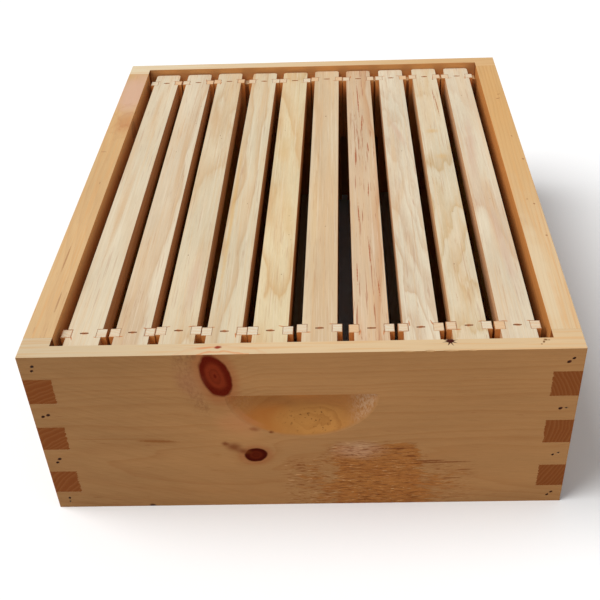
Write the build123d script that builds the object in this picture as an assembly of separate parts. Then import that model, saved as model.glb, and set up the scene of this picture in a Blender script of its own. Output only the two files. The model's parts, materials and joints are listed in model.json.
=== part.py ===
"""Honey super of a movable-frame beehive: a finger-jointed wooden box that is open above and below,
with ten self-spacing frames hanging in it by the lugs of their top bars.

Units are millimetres. +Z is up, +Y runs from the front end board to the back one, and the origin is
the centre of the rectangle that the box stands on. Every sub-part is written to parts/NODE.step.
"""

from build123d import *
import os
from math import sqrt

INCH = 25.4

# ---- box: driving dimensions -------------------------------------------------------------
board_thickness = 7 / 8 * INCH
inner_length = 18.375 * INCH  # between the end boards, along Y
inner_width = 14.75 * INCH  # between the side boards, along X
box_height = 6.625 * INCH
outer_length = inner_length + 2 * board_thickness
outer_width = inner_width + 2 * board_thickness

bottom_finger = 3 / 4 * INCH  # the lowest finger is cut short, the rest are one pitch high
finger_pitch = 1 * INCH
side_fingers = 3  # fingers of a side board at each end; an end board has one more
finger_play = 0.1  # glue line above and below each side finger

rest_width = 3 / 8 * INCH  # ledge that the lugs hang on, cut in the end boards
rest_depth = 5 / 8 * INCH

# ---- hand-hold: scooped by a round cutter whose axis stands outside the board ---------------
hold_ledge_height = 126.0  # above the foot of the box
hold_half_width = 59.0
hold_height = 45.0
hold_depth = 13.0

# Chips knocked out of the front board's top arris: where each lies along X, its length and its depth.
arris_chips = [(80.0, 12.0, 0.7), (95.5, 9.0, 1.0), (111.0, 14.0, 0.8), (126.5, 8.0, 0.6)]

# ---- frame: driving dimensions -----------------------------------------------------------
frame_height = 6.25 * INCH
top_bar_length = 19 * INCH
top_bar_width = 27.0
top_bar_thickness = 3 / 4 * INCH
lug_thickness = 3 / 8 * INCH
lug_corner_radius = 3.5
end_bar_spread = 17.75 * INCH  # over the outer faces of the two end bars
end_bar_thickness = 3 / 8 * INCH
shoulder_width = 1.375 * INCH  # spaces each frame from the next
shoulder_height = 70.0
lower_width = 28.6
neck_width = 3 / 4 * INCH  # part of the top bar between the end bar's two prongs
wire_hole_radius = 1.6
wire_hole_heights = (45.0, 95.0)  # above the foot of the frame
bottom_bar_width = 22.0
bottom_bar_thickness = 3 / 8 * INCH
joint_gap = 0.15  # between the wooden pieces of one frame
groove_width = 3.2
top_groove_depth = 6.0
bottom_groove_depth = 3.5
foundation_thickness = 2.0
foundation_end_gap = 1.0
foundation_seat = 1.0  # left free at the bottom of the top bar's groove

# ---- staples: U of flat wire -------------------------------------------------------------
crown_width = 6.4
wire_width = 1.2
wire_depth = 1.0
crown_sink = 0.7  # how far the crown is driven below the wood
slot_margin = 0.15  # wood crushed round the crown
box_leg = 38.0
top_bar_leg = 32.0
bottom_bar_leg = 16.0
staple_inset = 10.0  # from the corner of the box

# Where each frame hangs: its front and back lug's distance from the box's middle, and its shift
# along the box. Frames are pushed about by hand, so they stand a little askew.
frame_places = [
    (-166.7, -165.5, -0.6),
    (-129.4, -129.3, -0.4),
    (-94.1, -93.8, 0.8),
    (-58.9, -53.7, -0.9),
    (-23.7, -18.5, -1.0),
    (14.0, 17.4, 0.9),
    (54.0, 52.8, -0.2),
    (91.6, 89.8, 0.0),
    (128.2, 127.9, 1.1),
    (165.0, 164.6, 0.7),
]

# How each driven staple of a corner is turned, in degrees, from the top finger down.
end_staple_turns = [(75, 20, 60, 85), (45, 5, 25, 50), (60, 80, 35, 10), (15, 70, 40, 65)]
side_staple_turns = [(80, 35, 60), (20, 70, 45), (65, 15, 50), (40, 75, 25)]


def block(x, y, z):
    """A box between two corners, each given as a (low, high) pair along an axis."""
    size = [high - low for low, high in (x, y, z)]
    centre = [(high + low) / 2 for low, high in (x, y, z)]
    return Pos(*centre) * Box(*size)


def finger_levels():
    """Heights at which one finger ends and the next begins, from the foot to the rim."""
    steps = [bottom_finger + finger_pitch * i for i in range(2 * side_fingers)]
    return [0.0, *steps, box_height]


def side_finger_spans():
    """Height ranges of the side boards' fingers, from the foot up."""
    levels = finger_levels()
    return [(levels[i], levels[i + 1]) for i in range(1, 2 * side_fingers + 1, 2)]


def end_finger_spans():
    """Height ranges of the end boards' fingers, from the foot up."""
    levels = finger_levels()
    return [(levels[i], levels[i + 1]) for i in range(0, 2 * side_fingers + 1, 2)]


def middle(span):
    return (span[0] + span[1]) / 2


# ---- staples -------------------------------------------------------------------------------
def staple(leg):
    """A staple with its crown along X, its top at the origin and its legs pointing down."""
    half = crown_width / 2
    thick = wire_depth / 2
    shape = block((-half, half), (-thick, thick), (-wire_width, 0))
    for side in (-1, 1):
        inner, outer = sorted((side * half, side * (half - wire_width)))
        shape += block((inner, outer), (-thick, thick), (-leg, 0))
    return shape


def driven_staple(leg):
    """What a staple leaves in the wood: its own room, and the hollow that the sunk crown made."""
    half = crown_width / 2 + slot_margin
    thick = wire_depth / 2 + slot_margin
    return staple(leg) + block((-half, half), (-thick, thick), (0, 2 * crown_sink))


def corner_staple_places():
    """Where the box's staples are driven: locations whose -Z is the way the legs go in."""
    sunk_x = outer_width / 2 - crown_sink
    sunk_y = outer_length / 2 - crown_sink
    corners = [(-1, -1), (1, -1), (-1, 1), (1, 1)]
    places = []
    for (side, end), end_turns, side_turns in zip(corners, end_staple_turns, side_staple_turns):
        for span, turn in zip(reversed(end_finger_spans()), end_turns):
            spot = (side * (outer_width / 2 - staple_inset), end * sunk_y, middle(span))
            places.append(Location(spot) * Rotation(-90 * end, 0, 0) * Rotation(0, 0, turn))
        for span, turn in zip(reversed(side_finger_spans()), side_turns):
            spot = (side * sunk_x, end * (outer_length / 2 - staple_inset), middle(span))
            places.append(Location(spot) * Rotation(0, 90 * side, 0) * Rotation(0, 0, turn))
    return places


def box_staples():
    return Compound(children=[place * staple(box_leg) for place in corner_staple_places()])


def without_box_staples(board):
    """The board with the holes that the staples of its corners made going in."""
    for place in corner_staple_places():
        board -= place * driven_staple(box_leg)
    return board


# ---- box ---------------------------------------------------------------------------------
def hand_hold_cutter():
    """What the cutter takes out of a board that faces -Y with its outer face at y = 0."""
    reach = (hold_half_width**2 + hold_depth**2) / (2 * hold_depth)  # of the cutter at the ledge
    bulge = (hold_height**2 + hold_depth**2) / (2 * hold_depth)  # radius of its rounded edge
    spill = 10.0  # the cutter goes on below the scoop's lower end, outside the board
    foot = -(hold_height + spill)
    foot_reach = reach - bulge + sqrt(bulge**2 - foot**2)
    half_down = foot / 2
    half_reach = reach - bulge + sqrt(bulge**2 - half_down**2)
    with BuildPart() as cutter:
        with BuildSketch(Plane.XZ):
            with BuildLine():
                Polyline((0, foot), (0, 0), (reach, 0))
                ThreePointArc((reach, 0), (half_reach, half_down), (foot_reach, foot))
                Line((foot_reach, foot), (0, foot))
            make_face()
        revolve(axis=Axis.Z)
    return Pos(0, hold_depth - reach, hold_ledge_height) * cutter.part


def arris_chip(x, length, depth):
    """A ball that bites a chip of this length and depth out of the front board's top arris."""
    radius = (length**2 / 4 + depth**2) / (2 * depth)
    away = (radius - depth) / sqrt(2)
    return Pos(x, -outer_length / 2 - away, box_height + away) * Sphere(radius)


def outer_face_frame(end, along_y):
    """Carries something made for a board that faces -Y at y = 0 to a board of the box."""
    if along_y:
        turn = 0 if end < 0 else 180
        return Pos(0, end * outer_length / 2, 0) * Rotation(0, 0, turn)
    turn = -90 if end < 0 else 90
    return Pos(end * outer_width / 2, 0, 0) * Rotation(0, 0, turn)


def end_board(end):
    """The front (end = -1) or back (end = 1) board, with the frame rest and its fingers."""
    half = outer_width / 2
    outer_y = end * outer_length / 2
    inner_y = end * inner_length / 2
    across = tuple(sorted((outer_y, inner_y)))
    board = block((-half, half), across, (0, box_height))
    for span in side_finger_spans():
        for side in (-1, 1):
            socket = tuple(sorted((side * half, side * inner_width / 2)))
            board -= block(socket, across, span)
    rest = tuple(sorted((inner_y, inner_y + end * rest_width)))
    board -= block((-inner_width / 2, inner_width / 2), rest, (box_height - rest_depth, box_height))
    board -= outer_face_frame(end, True) * hand_hold_cutter()
    if end < 0:
        for chip in arris_chips:
            board -= arris_chip(*chip)
    return without_box_staples(board)


def side_board(side):
    """The left (side = -1) or right (side = 1) board."""
    half = outer_length / 2
    across = tuple(sorted((side * outer_width / 2, side * inner_width / 2)))
    board = block(across, (-inner_length / 2, inner_length / 2), (0, box_height))
    for low, high in side_finger_spans():
        finger = (low + finger_play, high - finger_play)
        board += block(across, (-half, half), finger)
    board -= outer_face_frame(side, False) * hand_hold_cutter()
    return without_box_staples(board)


# ---- frame, with its middle on the Z axis and its foot at z = 0 --------------------------------
bottom_bar_height = bottom_bar_thickness - joint_gap  # a glue line is left above it
neck_from = end_bar_spread / 2 - end_bar_thickness
neck_to = end_bar_spread / 2
staple_y = (neck_from + neck_to) / 2


def frame_staple_places():
    """The four staples of a frame: two down through the top bar, two up through the bottom bar."""
    top = frame_height - crown_sink
    for end in (-1, 1):
        yield Pos(0, end * staple_y, top), top_bar_leg
        yield Pos(0, end * staple_y, crown_sink) * Rotation(180, 0, 0), bottom_bar_leg


def without_frame_staples(wood):
    """The wood with the holes that its staples made going in."""
    for place, leg in frame_staple_places():
        wood -= place * driven_staple(leg)
    return wood


def top_bar():
    half_length = top_bar_length / 2
    half_width = top_bar_width / 2
    foot = frame_height - top_bar_thickness
    bar = block((-half_width, half_width), (-half_length, half_length), (foot, frame_height))
    for end in (-1, 1):
        beyond = tuple(sorted((end * (neck_to - joint_gap), end * half_length)))
        bar -= block((-half_width, half_width), beyond, (foot, frame_height - lug_thickness))
        notch = tuple(sorted((end * (neck_from - joint_gap), end * (neck_to + joint_gap))))
        for side in (-1, 1):
            cheek = tuple(sorted((side * half_width, side * (neck_width / 2 - joint_gap))))
            bar -= block(cheek, notch, (foot, frame_height))
    bar -= block(
        (-groove_width / 2, groove_width / 2),
        (-neck_from, neck_from),
        (foot, foot + top_groove_depth),
    )
    corners = bar.edges().filter_by(Axis.Z).filter_by(lambda e: abs(e.center().Y) > half_length - 0.01)
    return without_frame_staples(fillet(corners, lug_corner_radius))


def end_bar(end):
    """One end bar: wide spacing shoulders above, narrower below, notched for both bars."""
    wide, narrow = shoulder_width / 2, lower_width / 2
    shoulder = frame_height - shoulder_height
    outline = [
        (-wide, frame_height),
        (-wide, shoulder),
        (-narrow, shoulder - (wide - narrow)),
        (-narrow, 0),
        (narrow, 0),
        (narrow, shoulder - (wide - narrow)),
        (wide, shoulder),
        (wide, frame_height),
    ]
    face = Plane.XZ * Polygon(*outline, align=None)
    bar = Pos(0, neck_from, 0) * extrude(face, end_bar_thickness, dir=(0, 1, 0))
    through = (neck_from, neck_to)
    neck = neck_width / 2
    bar -= block((-neck, neck), through, (frame_height - top_bar_thickness, frame_height))
    seat = bottom_bar_width / 2
    bar -= block((-seat, seat), through, (0, bottom_bar_thickness))
    for height in wire_hole_heights:
        bar -= Pos(0, staple_y, height) * Rotation(90, 0, 0) * Cylinder(wire_hole_radius, 2 * end_bar_thickness)
    return bar if end > 0 else Rotation(0, 0, 180) * bar


def end_bars():
    return Compound(children=[without_frame_staples(end_bar(end)) for end in (-1, 1)])


def bottom_bar():
    half = bottom_bar_width / 2 - joint_gap
    bar = block((-half, half), (-neck_to, neck_to), (0, bottom_bar_height))
    bar -= block(
        (-groove_width / 2, groove_width / 2),
        (-neck_from, neck_from),
        (bottom_bar_height - bottom_groove_depth, bottom_bar_height),
    )
    return without_frame_staples(bar)


def foundation():
    """The sheet that the bees build on, held in the grooves of the top and bottom bars."""
    half = foundation_thickness / 2
    reach = neck_from - foundation_end_gap
    foot = bottom_bar_height - bottom_groove_depth
    top = frame_height - top_bar_thickness + top_groove_depth - foundation_seat
    return block((-half, half), (-reach, reach), (foot, top))


def frame_staples():
    return Compound(children=[place * staple(leg) for place, leg in frame_staple_places()])


def frame_location(place):
    """Where a frame hangs: its lugs lie on the ledges, and it may stand a little askew."""
    front_x, back_x, shift = place
    slant = Vector(back_x - front_x, top_bar_length, 0)
    turn = Vector(0, 1, 0).get_signed_angle(slant, Vector(0, 0, 1))
    foot = box_height - rest_depth + lug_thickness - frame_height
    return Pos((front_x + back_x) / 2, shift, foot) * Rotation(0, 0, turn)


def main():
    os.makedirs("parts", exist_ok=True)
    nodes = {
        "front_board": end_board(-1),
        "back_board": end_board(1),
        "left_side_board": side_board(-1),
        "right_side_board": side_board(1),
        "box_staples": box_staples(),
    }
    pieces = {
        "top_bar": top_bar(),
        "end_bars": end_bars(),
        "bottom_bar": bottom_bar(),
        "foundation": foundation(),
        "frame_staples": frame_staples(),
    }
    for number, place in enumerate(frame_places, start=1):
        hang = frame_location(place)
        for name, piece in pieces.items():
            nodes[f"{name}_{number:02d}"] = hang * piece
    for name, shape in nodes.items():
        export_step(shape, f"parts/{name}.step")


main()
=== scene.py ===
"""Looks for a honey super: procedural pine for its boards and frames, embossed wax foundation, staples,
torn grain and ragged finger joints, a pale floor, soft light and the camera.

Blender's own lengths are metres. Marks and new meshes are laid out in millimetres."""

import json
import math
import random

import bmesh
import bpy
from mathutils import Matrix, Vector, noise

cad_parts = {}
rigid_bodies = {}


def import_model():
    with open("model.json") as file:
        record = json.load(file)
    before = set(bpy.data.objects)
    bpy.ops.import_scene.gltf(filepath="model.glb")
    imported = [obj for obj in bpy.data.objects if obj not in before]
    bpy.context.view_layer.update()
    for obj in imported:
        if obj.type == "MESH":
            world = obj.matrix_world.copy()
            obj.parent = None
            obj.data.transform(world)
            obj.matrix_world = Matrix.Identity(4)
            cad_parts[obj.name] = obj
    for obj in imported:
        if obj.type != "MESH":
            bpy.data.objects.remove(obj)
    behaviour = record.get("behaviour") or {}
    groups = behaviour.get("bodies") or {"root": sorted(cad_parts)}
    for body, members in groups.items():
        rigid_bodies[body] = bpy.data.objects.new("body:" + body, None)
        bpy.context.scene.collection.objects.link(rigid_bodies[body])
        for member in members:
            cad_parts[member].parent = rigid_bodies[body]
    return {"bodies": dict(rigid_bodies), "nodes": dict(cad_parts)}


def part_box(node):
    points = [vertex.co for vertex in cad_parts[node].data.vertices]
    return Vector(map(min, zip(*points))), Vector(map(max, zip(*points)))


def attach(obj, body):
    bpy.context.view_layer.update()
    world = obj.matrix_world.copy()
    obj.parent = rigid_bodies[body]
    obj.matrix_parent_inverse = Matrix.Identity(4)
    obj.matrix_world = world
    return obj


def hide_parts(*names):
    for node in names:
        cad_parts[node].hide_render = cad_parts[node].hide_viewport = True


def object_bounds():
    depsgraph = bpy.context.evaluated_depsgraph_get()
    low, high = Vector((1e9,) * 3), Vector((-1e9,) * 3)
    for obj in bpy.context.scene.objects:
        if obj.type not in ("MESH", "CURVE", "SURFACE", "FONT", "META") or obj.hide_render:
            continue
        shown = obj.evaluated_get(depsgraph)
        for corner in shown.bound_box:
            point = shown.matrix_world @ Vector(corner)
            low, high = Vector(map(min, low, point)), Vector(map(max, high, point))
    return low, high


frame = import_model()
cad_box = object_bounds()

MM = 0.001
NODES = frame["nodes"]
BOX_BODY = "hive_box"
FRAMES = [name[-2:] for name in sorted(frame["bodies"]) if name != BOX_BODY]


# ---- node graphs ----
def linear(shade, factor=1.0):
    """An sRGB colour of 0 to 255 as the linear values that Blender works in, made darker by factor."""
    scale = [value / 255 for value in shade]
    return (*(factor * (v / 12.92 if v <= 0.04045 else ((v + 0.055) / 1.055) ** 2.4) for v in scale), 1)


class Graph:
    """Short calls for the nodes of one tree. An input is a number, a tuple or another node's output.

    A colour of three numbers is sRGB, of 0 to 255. One of four is linear already."""

    def __init__(self, tree):
        self.tree = tree

    def node(self, kind, inputs=(), **settings):
        """A new shader node, by the last part of its type's name."""
        made = self.tree.nodes.new("ShaderNode" + kind)
        for name, value in settings.items():
            setattr(made, name, value)
        for key, value in dict(inputs).items():
            self.feed(made.inputs[key], value)
        return made

    def feed(self, socket, value):
        if isinstance(value, bpy.types.NodeSocket):
            self.tree.links.new(value, socket)
        elif socket.type == "RGBA" and len(value) == 3:
            socket.default_value = linear(value)
        else:
            socket.default_value = value

    def math(self, operation, *values, clamp=False):
        inputs = enumerate(values)
        return self.node("Math", inputs, operation=operation, use_clamp=clamp).outputs[0]

    def times(self, *values):
        total = values[0]
        for value in values[1:]:
            total = self.math("MULTIPLY", total, value)
        return total

    def line(self, value, slope, base):
        """slope times the value, plus base."""
        return self.math("MULTIPLY_ADD", value, slope, base)

    def sway(self, value, reach, base=0.0):
        """base, moved by reach times how far the value is from a half."""
        return self.line(self.math("SUBTRACT", value, 0.5), reach, base)

    def rings(self, value, number):
        """0 to 1 over and over, as often as number says while the value goes from 0 to 1."""
        return self.math("FRACT", self.times(value, number))

    def size(self, value):
        return self.math("ABSOLUTE", value)

    def vector(self, operation, *values):
        made = self.node("VectorMath", enumerate(values), operation=operation)
        return made.outputs["Value" if operation == "LENGTH" else "Vector"]

    def split(self, vector):
        return self.node("SeparateXYZ", {0: vector}).outputs

    def join(self, x, y, z):
        return self.node("CombineXYZ", {0: x, 1: y, 2: z}).outputs[0]

    def noise(self, vector, scale=1.0, detail=2.0, roughness=0.5):
        """Noise whose scale is one number or, to draw it out along the grain, one for each axis."""
        if isinstance(scale, tuple):
            vector, scale = self.vector("MULTIPLY", vector, scale), 1.0
        inputs = {"Vector": vector, "Scale": scale, "Detail": detail, "Roughness": roughness}
        return self.node("TexNoise", inputs).outputs["Fac"]

    def between(self, value, low, high, out_low=0.0, out_high=1.0):
        """Smoothly from out_low to out_high as the value goes from low to high."""
        inputs = {"Value": value, 1: low, 2: high, 3: out_low, 4: out_high}
        return self.node("MapRange", inputs, interpolation_type="SMOOTHSTEP").outputs[0]

    def until(self, value, low, high, full=1.0):
        """Smoothly from full to 0 as the value goes from low to high."""
        return self.between(value, low, high, full, 0.0)

    def curve(self, value, stops):
        """A grey ramp through (place, level) pairs."""
        made = self.node("ValToRGB", {0: value})
        points = made.color_ramp.elements
        while len(points) < len(stops):
            points.new(0.5)
        for point, (place, level) in zip(points, stops):
            point.position = place
            point.color = (level, level, level, 1)
        return made.outputs["Color"]

    def mix(self, factor, first, second, blend="MIX"):
        """The first colour, with the second over it as far as factor says."""
        inputs = {0: factor, 6: first, 7: second}  # its sockets for colours
        return self.node("Mix", inputs, data_type="RGBA", blend_type=blend).outputs[2]

    def bumps(self, height, distance, strength):
        inputs = {"Height": height, "Distance": distance, "Strength": strength}
        return self.node("Bump", inputs).outputs[0]

    def finish(self, inputs):
        """Ends a material's graph with a shader of these inputs."""
        shader = self.node("BsdfPrincipled", inputs)
        self.feed(self.node("OutputMaterial").inputs["Surface"], shader.outputs[0])


def new_material(name):
    """A material and the empty graph of its nodes."""
    material = bpy.data.materials.new(name)
    material.use_nodes = True
    material.node_tree.nodes.clear()
    return material, Graph(material.node_tree)


# ---- pine ----
def pine_group():
    """Pine as a solid: rings round a pith that runs along Z, in millimetres."""
    tree = bpy.data.node_groups.new("pine", "ShaderNodeTree")
    sockets = (
        ("INPUT", "Vector", ("Point",)),
        ("INPUT", "Color", ("Early", "Late", "End grain")),
        ("INPUT", "Float", ("End", "Lift", "Spacing", "Contrast", "Waviness", "Resin")),
        ("OUTPUT", "Color", ("Color",)),
        ("OUTPUT", "Float", ("Height", "Roughness")),
    )
    for way, kind, names in sockets:
        for name in names:
            tree.interface.new_socket(name, in_out=way, socket_type="NodeSocket" + kind)
    g = Graph(tree)
    given = tree.nodes.new("NodeGroupInput").outputs
    point = given["Point"]

    # rings, bent by slow noise that changes little along the grain
    bend = g.sway(g.noise(point, (0.022, 0.022, 0.005)), 22)
    bend = g.sway(g.noise(point, (0.09, 0.09, 0.016), 3), 5, bend)
    across = g.split(point)
    radius = g.vector("LENGTH", g.join(across["X"], across["Y"], 0.0))
    radius = g.math("ADD", g.line(bend, given["Waviness"], radius), given["Lift"])
    years = g.math("DIVIDE", radius, given["Spacing"])
    uneven = g.noise(g.join(g.times(years, 0.37), 0.0, 0.0), detail=1)
    years = g.line(uneven, 2.2, years)
    part = g.math("FRACT", years)
    late = g.curve(part, [(0.0, 0.25), (0.1, 0.0), (0.45, 0.08), (0.8, 0.7), (0.93, 1.0), (1.0, 0.25)])
    strength = g.noise(g.join(g.math("FLOOR", years), 0.0, 0.0), 3.1, 0)
    strength = g.between(strength, 0.25, 0.75, 0.35, 1.2)

    # fibres, pores and patches
    fibre = g.noise(point, (1.6, 1.6, 0.035), 4, 0.65)
    fine = g.noise(point, (5.0, 5.0, 0.12))
    patch = g.noise(point, (0.03, 0.03, 0.008))
    pore = g.noise(point, (4.5, 4.5, 0.3), 3, 0.7)

    depth = g.math("MULTIPLY", g.times(late, strength), given["Contrast"], clamp=True)
    body = g.mix(depth, given["Early"], given["Late"])
    grey = g.sway(patch, 0.3, g.sway(fine, 0.16, g.sway(fibre, 0.34, 1.0)))
    body = g.mix(1.0, body, grey, "MULTIPLY")
    ends = g.mix(g.times(late, 0.4), given["End grain"], given["Late"])
    ends = g.mix(1.0, ends, g.sway(pore, 0.7, 1.0), "MULTIPLY")

    # resin canals: short dark dashes along the grain
    dash = g.noise(point, (0.8, 0.8, 0.03), 3, 0.6)
    zone = g.noise(point, (0.06, 0.06, 0.006), 1)
    resin = g.between(g.math("SUBTRACT", dash, g.line(zone, -0.25, 0.82)), 0.0, 0.05)
    resin = g.math("MULTIPLY", resin, given["Resin"], clamp=True)
    body = g.mix(resin, body, (150, 84, 44))

    faded = g.between(given["End"], 0.35, 0.85)
    height = g.line(resin, -0.5, g.line(late, 0.35, g.times(fibre, 0.8)))
    results = {
        "Color": g.mix(faded, body, ends),
        "Height": g.mix(faded, height, g.times(pore, 1.6)),
        "Roughness": g.line(faded, 0.15, g.line(fibre, 0.2, 0.5)),
    }
    out = tree.nodes.new("NodeGroupOutput")
    for name, value in results.items():
        g.feed(out.inputs[name], value)
    return tree


PINE = pine_group()
GRAIN_TURN = {"X": (0, math.pi / 2, 0), "Y": (-math.pi / 2, 0, 0), "Z": (0, 0, 0)}


def pine(node, edges, grain, pith, tones, marks, spacing, contrast, tilt=(0, 0, 0), waviness=1.0, resin=0.5):
    """Dresses a piece in pine, with its arrises rounded by edges.

    grain is the axis that the fibres follow, and tilt how they lean from it. pith is a point of the tree's
    middle. tones are the early wood, late wood and end grain. spacing is from ring to ring, contrast how
    dark the late wood is. marks(surface) lays knots, stains and painted light and shade over the wood, and
    may bend its rings."""
    material, g = new_material(node)
    spot = g.node("TexCoord").outputs
    turn = tuple(base + math.radians(lean) for base, lean in zip(GRAIN_TURN[grain], tilt))
    inputs = {"Vector": spot["Object"], "Location": pith, "Rotation": turn, "Scale": (MM, MM, MM)}
    log = g.node("Mapping", inputs, vector_type="TEXTURE").outputs[0]
    end = g.size(g.split(spot["Normal"])[grain])
    wood = g.node("Group", node_tree=PINE)
    for socket, value in zip(wood.inputs, (log, *tones, end, 0.0, spacing, contrast, waviness, resin)):
        g.feed(socket, value)
    surface = Surface(g, spot, wood)
    marks(surface)
    g.finish({
        "Base Color": surface.shade,
        "Roughness": wood.outputs["Roughness"],
        "Normal": g.bumps(surface.height, 0.4 * MM, 0.35),
        "Specular IOR Level": surface.gloss,
    })
    dress(node, material, edges)


class Surface:
    """Wood that is being marked: its graph, where each point is in millimetres, its shade and height."""

    def __init__(self, g, spot, wood):
        self.g = g
        self.wood = wood
        self.place = g.vector("MULTIPLY", spot["Object"], (1 / MM, 1 / MM, 1 / MM))
        self.at = g.split(self.place)
        self.normal = g.split(spot["Normal"])
        self.level = g.between(g.size(self.normal["Z"]), 0.5, 0.9)
        self.upright = g.math("SUBTRACT", 1.0, self.level)
        self.shade, self.height = wood.outputs["Color"], wood.outputs["Height"]
        self.gloss = 0.06
        self.shared = {}

    def tint(self, factors, *amounts):
        """Multiplies the shade by factors, as far as the product of the amounts says."""
        self.shade = self.g.mix(self.g.times(*amounts), self.shade, factors, "MULTIPLY")

    def stain(self, shade, *amounts):
        """Covers the wood with a shade, as far as the product of the amounts says."""
        self.shade = self.g.mix(self.g.times(*amounts), self.shade, shade)

    def unevenness(self, size):
        """Noise for a mark of some size. Marks share it, as a material can hold only so many values."""
        scale = 0.45 if size < 5 else 0.07
        if scale not in self.shared:
            self.shared[scale] = self.g.noise(self.place, scale)
        return self.shared[scale]

    def away_from(self, plane, centre, radii, lean, wobble):
        """0 at the middle of a leaning ellipse and 1 at its rim, in the plane of two axes such as "XZ"."""
        g = self.g
        cosine, sine = math.cos(math.radians(lean)), math.sin(math.radians(lean))
        u = g.math("SUBTRACT", self.at[plane[0]], centre[0])
        v = g.math("SUBTRACT", self.at[plane[1]], centre[1])
        along = g.line(u, cosine / radii[0], g.times(v, sine / radii[0]))
        across = g.line(u, -sine / radii[1], g.times(v, cosine / radii[1]))
        away = g.vector("LENGTH", g.join(along, across, 0.0))
        return g.math("ADD", away, g.line(self.unevenness(min(radii)), wobble, -wobble / 2))

    def blot(self, plane, centre, radii, shade, strength, lean=0, soft=0.6, where=1.0, wobble=0.5):
        """An uneven oval stain, which fades over the outer part of it that soft says."""
        away = self.away_from(plane, centre, radii, lean, wobble)
        self.stain(shade, self.g.until(away, 1 - soft, 1.0, strength), where)

    def top_blot(self, *what, **how):
        """The same, seen from above and only where the wood is level."""
        self.blot("XY", *what, where=self.level, **how)

    def top_blots(self, shade, strength, spots, **how):
        """Such stains, each given by its middle's x and y, its half sizes and, if it leans, its lean."""
        for x, y, wide, long, *lean in spots:
            self.top_blot((x, y), (wide, long), shade, strength, *lean, **how)

    def knots(self, plane, knots, where):
        """Knots that rings bend round. Each has a centre, radii, lean and a shade of heart and rim."""
        g, lift = self.g, 0.0
        for centre, radii, lean, heart_shade, rim_shade in knots:
            away = self.away_from(plane, centre, radii, lean, 0.34)
            dark = linear(heart_shade, 0.7)
            heart = g.mix(g.between(g.rings(away, 2.7), 0.3, 0.95, 0.0, 0.7), heart_shade, dark)
            heart = g.mix(g.until(away, 0.05, 0.15, 0.9), heart, rim_shade)
            heart = g.mix(g.between(away, 0.5, 0.8), heart, rim_shade)
            fine = g.noise(self.place, 0.9, 3, 0.7)
            heart = g.mix(g.between(fine, 0.35, 0.7, 0.0, 0.5), heart, dark)
            cover = g.times(g.until(away, 0.93, 1.12), where)
            self.stain((150, 74, 36), g.until(away, 0.9, 1.9, 0.5), where)
            self.stain(heart, cover)
            self.gloss = g.times(self.gloss, g.math("SUBTRACT", 1.0, cover))
            crack = g.until(g.size(g.math("SUBTRACT", away, 1.03)), 0.0, 0.06, -1.6)
            self.height = g.line(crack, where, self.height)
            lift = g.math("ADD", g.until(away, 0.6, 3.4, 0.55 * min(radii)), lift)
        g.feed(self.wood.inputs["Lift"], lift)


def dress(node, material, edges=0.0):
    """Gives a CAD piece one material and, if edges is more than 0, arrises rounded that much.

    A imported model's faces are separate, so they are joined first."""
    piece = NODES[node]
    for slot in piece.material_slots:
        slot.material = material
    if not piece.material_slots:
        piece.data.materials.append(material)
    if edges:
        piece.modifiers.new("weld", "WELD").merge_threshold = MM / 1000
        bevel = piece.modifiers.new("worn edges", "BEVEL")
        bevel.width = edges * MM
        bevel.segments = 2
        bevel.limit_method = "ANGLE"
        bevel.angle_limit = math.radians(40)
        bevel.harden_normals = True


# ---- box boards ----
LOW, HIGH = (Vector(corner) / MM for corner in cad_box)  # corners of the whole box, in millimetres
HALF = {"X": HIGH.x, "Y": HIGH.y}
BOARD = (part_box("front_board")[1].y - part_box("front_board")[0].y) / MM
HOLD_HALF, HOLD_FOOT, HOLD_LEDGE = 59.0, 81.0, 126.0  # the scoop's half width, foot and top
FINGER, FIRST_FINGER = 25.4, 19.05  # height of a finger, and of the lowest one
CROWN_HALF = 2.3  # from the middle of a staple's crown to where it goes in
NEAR_FACE = 0.75  # crowns lie no deeper than this
UP = Vector((0, 0, 1))
FACES = {  # which way each board looks
    "front_board": Vector((0, -1, 0)),
    "back_board": Vector((0, 1, 0)),
    "left_side_board": Vector((-1, 0, 0)),
    "right_side_board": Vector((1, 0, 0)),
}

BOX_TONES = ((199, 158, 106), (181, 130, 78), (152, 90, 42))
RIM_PALE = (214, 196, 164)
PAINTED_SIDE_SHADE = (0.66, 0.54, 0.46, 1)  # painted shade, which makes the upright outer faces darker and warmer than the tops
PAINTED_INNER_SHADE = (0.95, 0.66, 0.42, 1)  # painted warm shade on the inner faces, as of light bounced about inside the box
DARK_KNOT = ((124, 46, 24), (88, 20, 10))
BLACK_KNOT = ((90, 30, 15), (66, 16, 9))


def crowns():
    """Where the box's staples show: the middle of each crown, its direction and the face's normal."""
    points = [vertex.co / MM for vertex in NODES["box_staples"].data.vertices]
    found = []
    for out in FACES.values():
        across = 0 if out.y else 1
        groups = {}
        for p in points:
            if abs(p.dot(out) - HIGH[1 - across]) < NEAR_FACE:
                groups.setdefault((p[across] > 0, (p.z - FIRST_FINGER) // FINGER), []).append(p)
        for group in groups.values():
            middle = sum(group, Vector()) / len(group)
            spread = [(p[across] - middle[across], p.z - middle.z) for p in group]
            flat = sum(u * u - v * v for u, v in spread)
            turn = 0.5 * math.atan2(2 * sum(u * v for u, v in spread), flat)
            direction = Vector((0, 0, math.sin(turn)))
            direction[across] = math.cos(turn)
            found.append((middle, direction, out))
    return found


CROWNS = crowns()


def staple_stains(surface, out, along, where):
    """Dark rusty dots where the ends of a face's staples have gone in."""
    dice = random.Random(5)
    for middle, direction, facing in CROWNS:
        if facing == out:
            for end in (-CROWN_HALF, CROWN_HALF):
                spot = middle + direction * end
                size = dice.uniform(0.7, 1.7)
                centre = (spot["XYZ".index(along)], spot.z)
                radii = (size * 1.3, size)
                surface.blot(along + "Z", centre, radii, (66, 22, 12), 0.95, 30, 0.4, where)


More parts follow.
